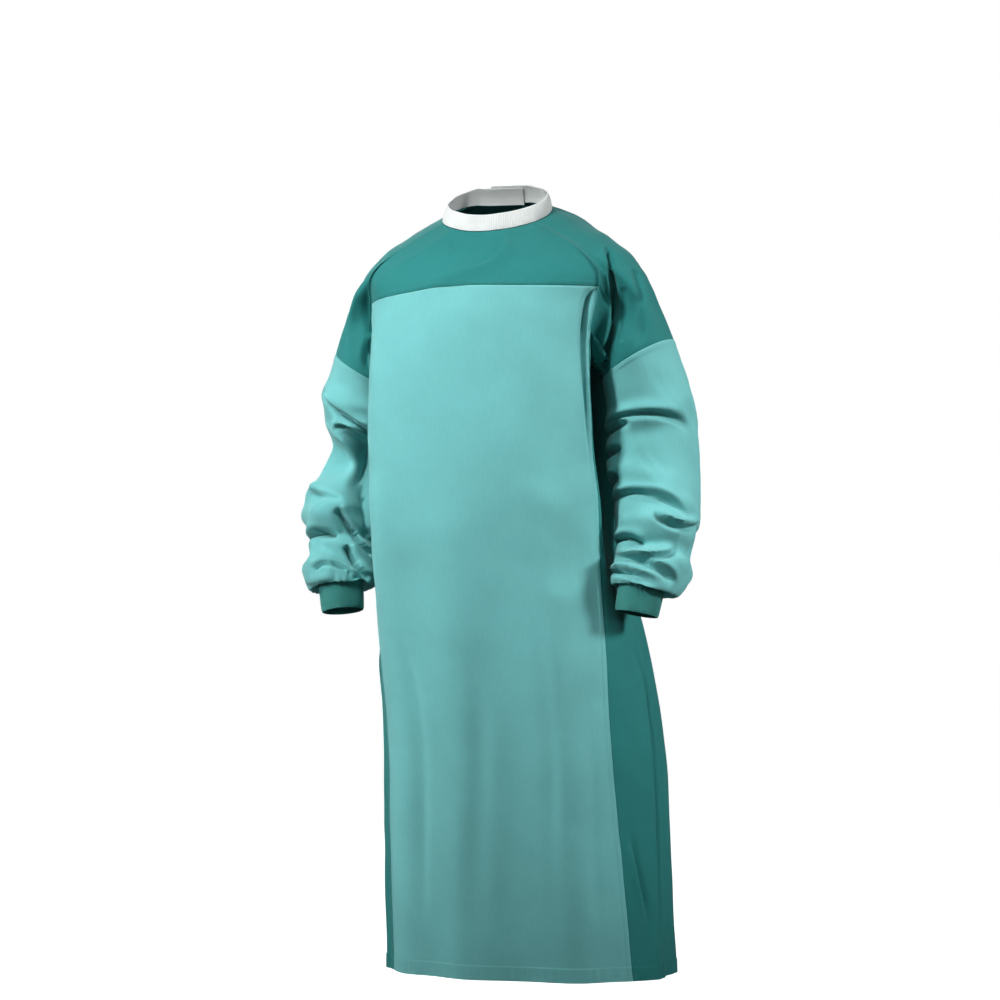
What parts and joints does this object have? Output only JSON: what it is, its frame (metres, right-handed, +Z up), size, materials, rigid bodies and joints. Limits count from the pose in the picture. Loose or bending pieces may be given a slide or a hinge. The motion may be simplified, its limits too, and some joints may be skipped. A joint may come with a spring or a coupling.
{
  "type": "surgical gown",
  "caption": "Long-sleeved surgical gown, worn and hollow, with a pale front panel, dark yoke and back, knit neckband and cuffs, and tapes tied at the back.",
  "frame": {"origin": "between the wearer's shoulders at the height of the neckline's sides, where the gown is carried", "axes": "+Z up; -Y is the front of the gown; +X is the wearer's left"},
  "size_m": [0.6346, 0.3537, 1.2104],
  "materials": {
    "light_cloth": "matt woven cloth, light green",
    "dark_cloth": "matt woven cloth, dark green",
    "cuff_rib": "matt rib knit, dark green",
    "neck_rib": "matt rib knit, white",
    "tape": "matt woven tape, dark green"
  },
  "bodies": {
    "root": {"front_panel": "light_cloth", "sleeve_lower_left": "light_cloth", "sleeve_lower_right": "light_cloth", "yoke_front": "dark_cloth", "sleeve_upper_left": "dark_cloth", "sleeve_upper_right": "dark_cloth", "back_left": "dark_cloth", "back_right": "dark_cloth", "cuff_left": "cuff_rib", "cuff_right": "cuff_rib", "collar": "neck_rib", "neck_tie": "tape", "waist_tie": "tape"}
  },
  "joints": []
}
